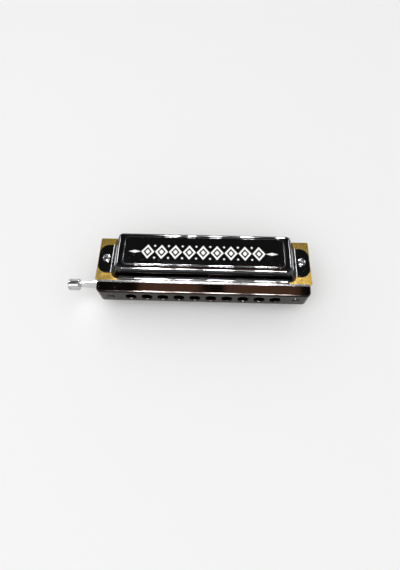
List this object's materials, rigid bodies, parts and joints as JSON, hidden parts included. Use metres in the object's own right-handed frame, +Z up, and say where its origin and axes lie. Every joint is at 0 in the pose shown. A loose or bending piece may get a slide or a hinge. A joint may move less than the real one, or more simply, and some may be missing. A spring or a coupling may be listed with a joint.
{
  "type": "chromatic harmonica",
  "caption": "Slide chromatic harmonica: dark sheet covers with a raised panel and open back, brass reed plates, bored mouthpiece and a sprung push-button slide.",
  "frame": {"origin": "on the surface that the instrument rests on, under the middle of the comb, on the flat of the lower cover's raised panel", "axes": "+X along the instrument, from the button's end to hole one; +Y from the mouthpiece to the open backs of the covers; +Z up, from the numbered cover that it rests on to the cover that the picture shows"},
  "size_m": [0.1425, 0.0369, 0.027],
  "materials": {
    "comb_plastic": "moulded satin black",
    "cover_black_chrome": "dark mirror chrome on pressed sheet",
    "plate_brass": "rolled and lightly tarnished",
    "mouthpiece_chrome": "dark polished chrome",
    "cage_steel": "plated sheet",
    "slide_chrome": "polished sheet",
    "button_chrome": "turned and polished",
    "bumper_rubber": "soft sleeve",
    "spring_steel": "drawn wire",
    "screw_steel": "dark plated, worn bright in the recess",
    "plate_screw_brass": "turned brass",
    "rivet_brass": "headed brass",
    "reed_brass": "scraped and tuned brass",
    "valve_plastic": "thin film flaps"
  },
  "bodies": {
    "instrument": {"comb": "comb_plastic", "upper_cover": "cover_black_chrome", "lower_cover": "cover_black_chrome", "upper_reed_plate": "plate_brass", "lower_reed_plate": "plate_brass", "mouthpiece": "mouthpiece_chrome", "slide_cage": "cage_steel", "slide_backing_plate": "cage_steel", "slide_bumper": "bumper_rubber", "slide_spring": "spring_steel", "cover_bolts": "screw_steel", "cover_nuts": "screw_steel", "mouthpiece_screws": "mouthpiece_chrome", "reed_plate_screws": "plate_screw_brass", "upper_reed_rivets": "rivet_brass", "lower_reed_rivets": "rivet_brass", "upper_valves": "valve_plastic", "lower_valves": "valve_plastic", "upper_draw_reed_01": "reed_brass", "upper_draw_reed_02": "reed_brass", "upper_draw_reed_03": "reed_brass", "upper_draw_reed_04": "reed_brass", "upper_draw_reed_05": "reed_brass", "upper_draw_reed_06": "reed_brass", "upper_draw_reed_07": "reed_brass", "upper_draw_reed_08": "reed_brass", "upper_draw_reed_09": "reed_brass", "upper_draw_reed_10": "reed_brass", "upper_blow_reed_01": "reed_brass", "upper_blow_reed_02": "reed_brass", "upper_blow_reed_03": "reed_brass", "upper_blow_reed_04": "reed_brass", "upper_blow_reed_05": "reed_brass", "upper_blow_reed_06": "reed_brass", "upper_blow_reed_07": "reed_brass", "upper_blow_reed_08": "reed_brass", "upper_blow_reed_09": "reed_brass", "upper_blow_reed_10": "reed_brass", "lower_draw_reed_01": "reed_brass", "lower_draw_reed_02": "reed_brass", "lower_draw_reed_03": "reed_brass", "lower_draw_reed_04": "reed_brass", "lower_draw_reed_05": "reed_brass", "lower_draw_reed_06": "reed_brass", "lower_draw_reed_07": "reed_brass", "lower_draw_reed_08": "reed_brass", "lower_draw_reed_09": "reed_brass", "lower_draw_reed_10": "reed_brass", "lower_blow_reed_01": "reed_brass", "lower_blow_reed_02": "reed_brass", "lower_blow_reed_03": "reed_brass", "lower_blow_reed_04": "reed_brass", "lower_blow_reed_05": "reed_brass", "lower_blow_reed_06": "reed_brass", "lower_blow_reed_07": "reed_brass", "lower_blow_reed_08": "reed_brass", "lower_blow_reed_09": "reed_brass", "lower_blow_reed_10": "reed_brass"},
    "slide_valve": {"slide": "slide_chrome", "slide_button": "button_chrome"}
  },
  "joints": [
    {"name": "slide_press", "type": "slide", "parent": "instrument", "child": "slide_valve", "axis": [1, 0, 0], "range_m": [0, 0.00465], "stiffness_N_per_m": 400, "springref_m": -0.004, "deforming": ["slide_spring"]}
  ]
}
